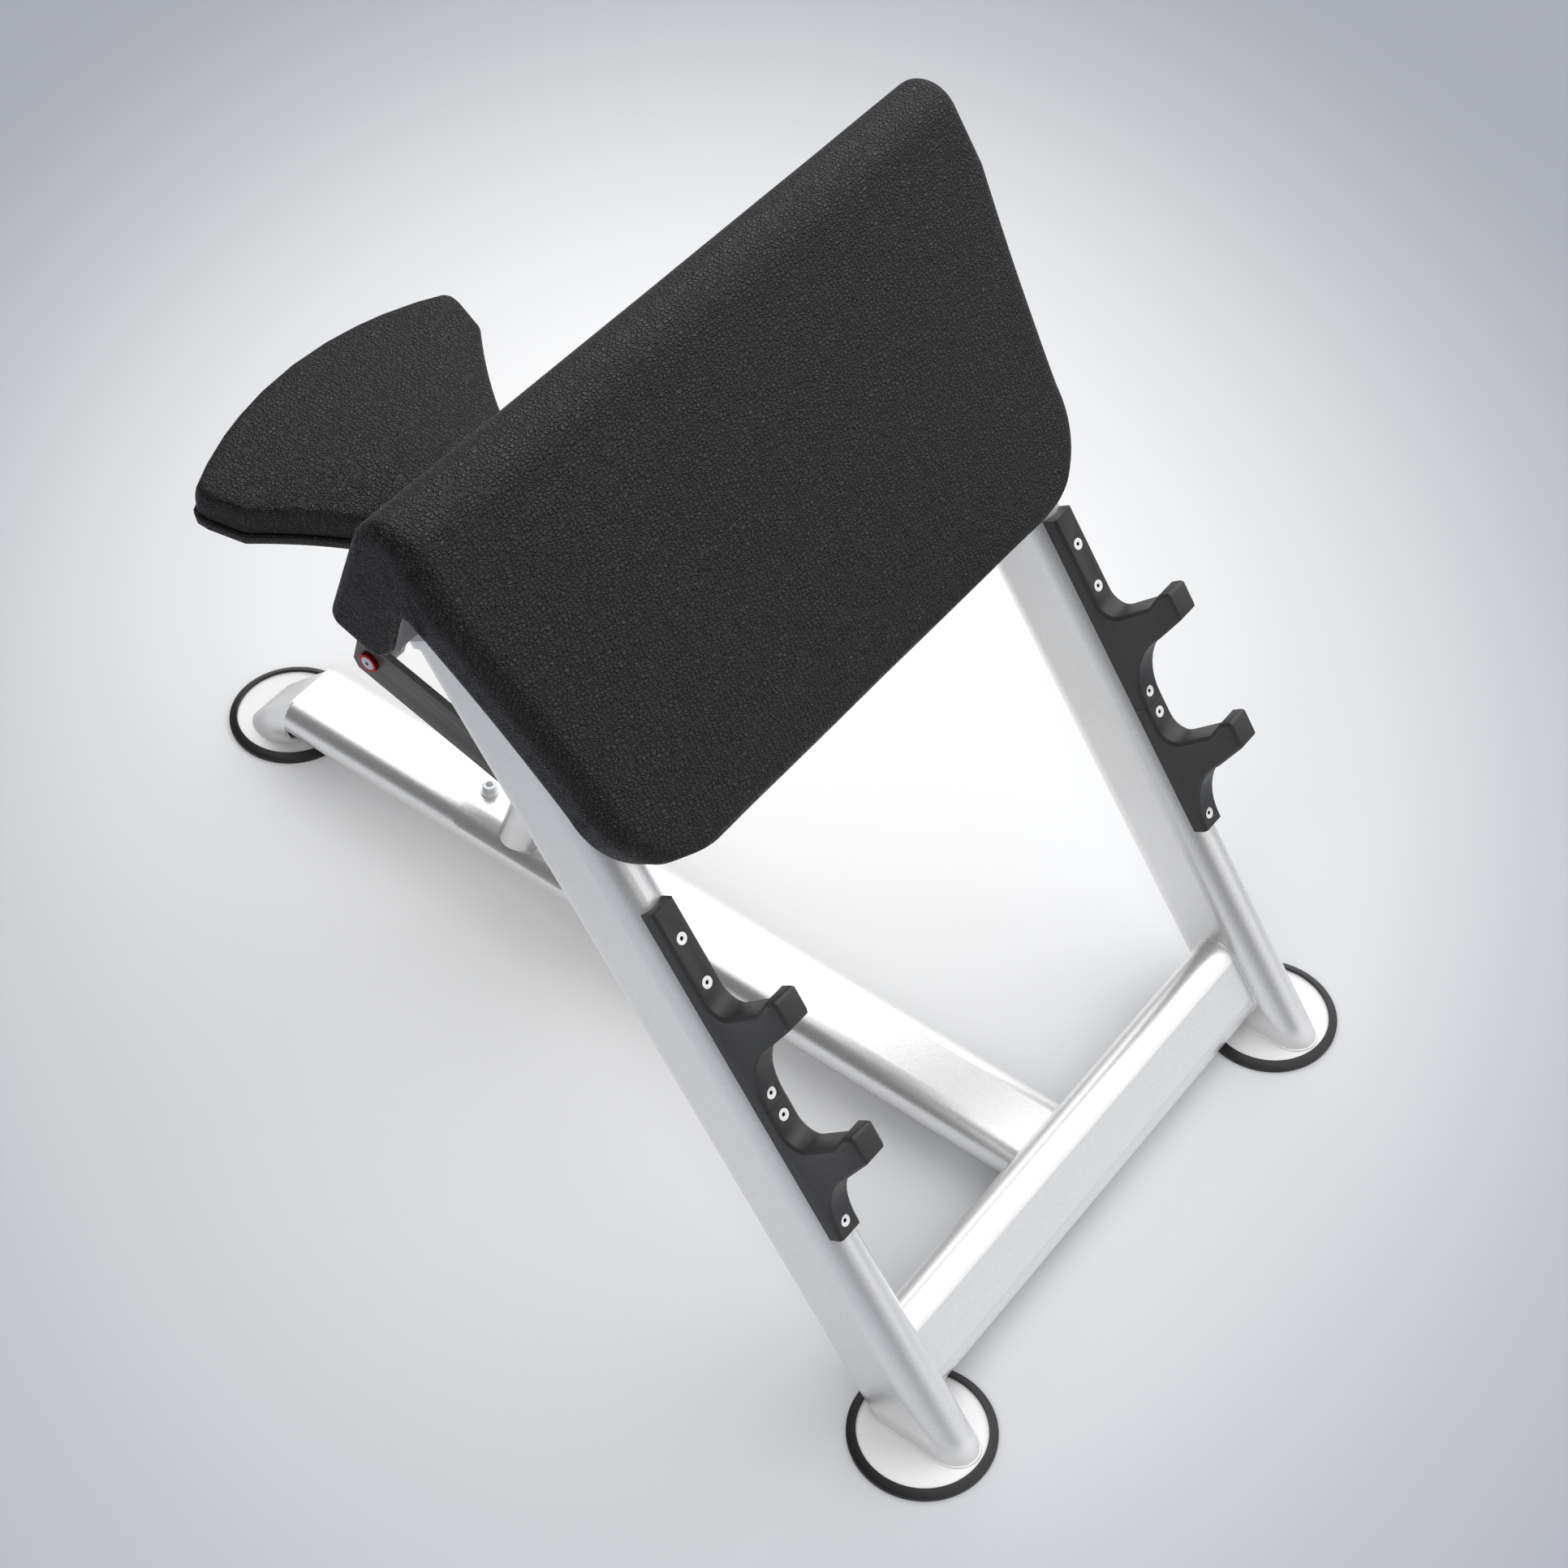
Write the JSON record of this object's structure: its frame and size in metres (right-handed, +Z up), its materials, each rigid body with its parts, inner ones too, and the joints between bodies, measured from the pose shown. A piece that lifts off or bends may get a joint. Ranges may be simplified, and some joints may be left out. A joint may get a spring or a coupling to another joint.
{
  "type": "preacher curl bench",
  "caption": "Preacher curl bench: wide wedge arm pad on two slanted legs with double bar hooks, and a saddle seat on parallel links over a central base tube.",
  "frame": {"origin": "on the floor, at the middle of the bench's overall width and length", "axes": "+X across the bench, +Y from the front feet to the seat and the rear foot, +Z up"},
  "size_m": [0.796, 1.286, 0.9528],
  "materials": {
    "rubber": "matt moulded rubber",
    "frame_paint": "satin silver-white powder coat",
    "catch_plastic": "matt black wear plastic",
    "screw_steel": "bright countersunk screws",
    "vinyl": "pebble-grained black vinyl",
    "pad_backing": "grey woven backing over a board",
    "bright_steel": "zinc-plated steel",
    "black_plastic": "black nylon",
    "grip_rubber": "ribbed black grip",
    "link_paint": "satin dark grey powder coat",
    "red_anodised": "red anodised ring",
    "cap_aluminium": "turned aluminium disc",
    "carriage_paint": "satin grey powder coat",
    "seat_shell": "black vinyl over a formed board",
    "spring_black": "gloss black cylinder"
  },
  "bodies": {
    "frame": {"foot_ring_left": "rubber", "foot_ring_right": "rubber", "foot_ring_rear": "rubber", "foot_plate_left": "frame_paint", "foot_plate_right": "frame_paint", "foot_plate_rear": "frame_paint", "leg_left": "frame_paint", "leg_right": "frame_paint", "front_crossbar": "frame_paint", "base_spine": "frame_paint", "rear_stub": "frame_paint", "leg_top_plate_left": "frame_paint", "leg_top_plate_right": "frame_paint", "upper_catch_left": "catch_plastic", "lower_catch_left": "catch_plastic", "upper_catch_right": "catch_plastic", "lower_catch_right": "catch_plastic", "catch_screws_left": "screw_steel", "catch_screws_right": "screw_steel", "arm_pad": "vinyl", "arm_pad_board": "pad_backing", "pad_bolts": "bright_steel", "pad_washers": "bright_steel", "saddle_plate": "frame_paint", "saddle_bolts": "bright_steel", "saddle_washers": "bright_steel", "seat_post": "frame_paint", "post_cap": "black_plastic", "post_lower_tube": "frame_paint", "post_upper_tube": "frame_paint", "post_bushes": "black_plastic", "spring_bracket": "link_paint", "spring_lower_pin": "bright_steel"},
    "lower_link": {"lower_link_left": "link_paint", "lower_link_right": "link_paint", "lower_link_pins": "bright_steel", "lower_cap_rings": "red_anodised", "lower_cap_discs": "cap_aluminium"},
    "upper_link": {"upper_link_left": "link_paint", "upper_link_right": "link_paint", "upper_link_pins": "bright_steel", "upper_cap_rings": "red_anodised", "upper_cap_discs": "cap_aluminium"},
    "carriage": {"carriage_plates": "carriage_paint", "carriage_lower_tube": "carriage_paint", "carriage_upper_tube": "carriage_paint", "carriage_bushes": "black_plastic", "spring_upper_pin": "bright_steel", "seat_plate": "carriage_paint", "seat_bolts": "bright_steel", "seat_board": "seat_shell", "seat_cushion": "vinyl", "lever_pin": "bright_steel"},
    "spring_cylinder": {"spring_cylinder": "spring_black"},
    "spring_rod": {"spring_rod": "bright_steel"},
    "release_lever": {"release_lever": "link_paint", "lever_grip": "grip_rubber"}
  },
  "joints": [
    {"name": "seat_height", "type": "hinge", "parent": "frame", "child": "lower_link", "pos_m": [0, 0.14812, 0.21705], "axis": [1, 0, 0], "range_deg": [-20, 12]},
    {"name": "upper_link_swing", "type": "hinge", "parent": "frame", "child": "upper_link", "pos_m": [0, 0.10949, 0.33593], "axis": [1, 0, 0], "range_deg": [-20, 12]},
    {"name": "carriage_level", "type": "hinge", "parent": "lower_link", "child": "carriage", "pos_m": [0, 0.36428, 0.27578], "axis": [1, 0, 0], "range_deg": [-12, 20]},
    {"name": "spring_swing", "type": "hinge", "parent": "frame", "child": "spring_cylinder", "pos_m": [0, 0.19092, 0.23096], "axis": [1, 0, 0], "range_deg": [-21.3, 12.8]},
    {"name": "spring_stroke", "type": "slide", "parent": "spring_cylinder", "child": "spring_rod", "axis": [0, 0.7448, 0.6673], "range_m": [-0.0347, 0.021]},
    {"name": "lever_pull", "type": "hinge", "parent": "carriage", "child": "release_lever", "pos_m": [0, 0.30928, 0.44507], "axis": [-1, 0, 0], "range_deg": [0, 12], "stiffness_Nm_per_rad": 2, "springref_deg": -28.65}
  ],
  "couplings": [
    {"joint": "upper_link_swing", "follows": "seat_height", "ratio": 1},
    {"joint": "carriage_level", "follows": "seat_height", "ratio": -1},
    {"joint": "spring_swing", "follows": "seat_height", "ratio": 1.064},
    {"joint": "spring_stroke", "follows": "seat_height", "m_per_rad": 0.0982}
  ]
}
